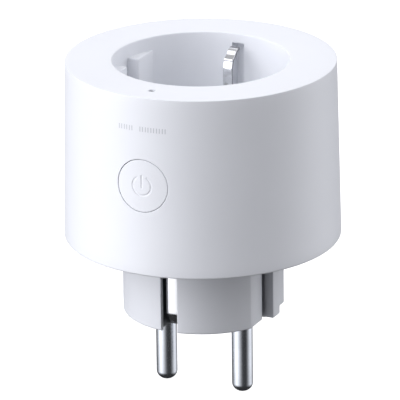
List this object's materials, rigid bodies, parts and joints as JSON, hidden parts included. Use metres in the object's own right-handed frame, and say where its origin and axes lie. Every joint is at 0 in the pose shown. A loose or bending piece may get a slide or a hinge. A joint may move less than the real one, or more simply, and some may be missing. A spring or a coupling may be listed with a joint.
{
  "type": "smart plug",
  "caption": "Compact round smart plug with an earthed socket well on top, a flush power button, and a two-pin plug nose with side earth strips below.",
  "frame": {"origin": "centre of the plug's engagement face, between the two pins", "axes": "+Z from the plug pins towards the socket opening; +X along the line of the pins; the button and the status light are on the -Y side"},
  "size_m": [0.0624, 0.0624, 0.0778],
  "materials": {
    "housing_white": "satin moulded white",
    "cover_white": "satin moulded white, slightly darker",
    "socket_white": "satin moulded white",
    "button_white": "satin moulded white",
    "nickel": "polished nickel plate",
    "sheet_nickel": "bright nickel-plated sheet",
    "brass": "stamped brass",
    "copper": "bare copper",
    "zinc_steel": "zinc-plated steel",
    "board_green": "solder mask over glass-epoxy",
    "board_blue": "solder mask over glass-epoxy",
    "carrier_cream": "glass-filled nylon",
    "black_plastic": "moulded epoxy or nylon",
    "light_guide": "clear acrylic",
    "led_lens": "clear epoxy",
    "relay_blue": "moulded polyester",
    "copper_winding": "enamelled copper wire",
    "ferrite": "ferrite",
    "winding_tape": "polyester tape",
    "capacitor_sleeve": "shrink sleeve",
    "film_capacitor": "moulded case",
    "varistor_blue": "dipped epoxy",
    "resistor_body": "ceramic coat",
    "ferrite_wound": "enamelled wire on ferrite",
    "manganin": "stamped manganin"
  },
  "bodies": {
    "housing": {"front_housing": "housing_white", "rear_cover": "cover_white", "socket_floor": "socket_white", "live_pin": "nickel", "neutral_pin": "nickel", "pin_carrier": "carrier_cream", "earth_strip_back": "sheet_nickel", "earth_strip_front": "sheet_nickel", "earth_cross_strap": "sheet_nickel", "shutter_screw": "zinc_steel", "shutter_spring": "zinc_steel", "live_contact": "brass", "neutral_contact": "brass", "live_busbar": "copper", "neutral_busbar": "copper", "main_pcb": "board_green", "button_pcb": "board_green", "tact_switch_body": "black_plastic", "status_led": "led_lens", "light_pipe": "light_guide", "relay_base": "relay_blue", "relay_cover": "relay_blue", "relay_coil": "copper_winding", "relay_yoke": "zinc_steel", "relay_fixed_contact": "copper", "wifi_module": "board_blue", "module_shield_can": "zinc_steel", "transformer_core": "ferrite", "transformer_winding": "winding_tape", "bulk_capacitor": "capacitor_sleeve", "x_capacitor": "film_capacitor", "varistor": "varistor_blue", "fuse_resistor": "resistor_body", "inductor": "ferrite_wound", "bridge_rectifier": "black_plastic", "metering_chip": "black_plastic", "shunt_resistor": "manganin", "housing_screw_1": "zinc_steel", "housing_screw_2": "zinc_steel", "housing_screw_3": "zinc_steel", "housing_screw_4": "zinc_steel"},
    "button": {"power_button": "button_white"},
    "switch_plunger": {"tact_switch_plunger": "black_plastic"},
    "shutter": {"safety_shutter": "carrier_cream"},
    "clip_front": {"earth_clip_front": "sheet_nickel"},
    "clip_back": {"earth_clip_back": "sheet_nickel"},
    "armature": {"relay_armature": "zinc_steel", "relay_moving_contact": "copper"}
  },
  "joints": [
    {"name": "button_press", "type": "slide", "parent": "housing", "child": "button", "axis": [0, 1, 0], "range_m": [0, 0.0004], "stiffness_N_per_m": 800},
    {"name": "switch_plunger_press", "type": "slide", "parent": "housing", "child": "switch_plunger", "axis": [0, 1, 0], "range_m": [0, 0.0004]},
    {"name": "shutter_turn", "type": "hinge", "parent": "housing", "child": "shutter", "pos_m": [0, 0, 0.038], "axis": [0, 0, 1], "range_deg": [0, 42], "stiffness_Nm_per_rad": 0.004},
    {"name": "clip_front_flex", "type": "hinge", "parent": "housing", "child": "clip_front", "pos_m": [0, -0.0166, 0.0385], "axis": [1, 0, 0], "range_deg": [0, 10], "stiffness_Nm_per_rad": 0.4},
    {"name": "clip_back_flex", "type": "hinge", "parent": "housing", "child": "clip_back", "pos_m": [0, 0.0166, 0.0385], "axis": [-1, 0, 0], "range_deg": [0, 10], "stiffness_Nm_per_rad": 0.4},
    {"name": "armature_pull", "type": "hinge", "parent": "housing", "child": "armature", "pos_m": [0.00085, 0.0218, 0.0348], "axis": [0, -1, 0], "range_deg": [0, 4], "stiffness_Nm_per_rad": 0.02}
  ],
  "couplings": [
    {"joint": "switch_plunger_press", "follows": "button_press", "ratio": 1}
  ]
}
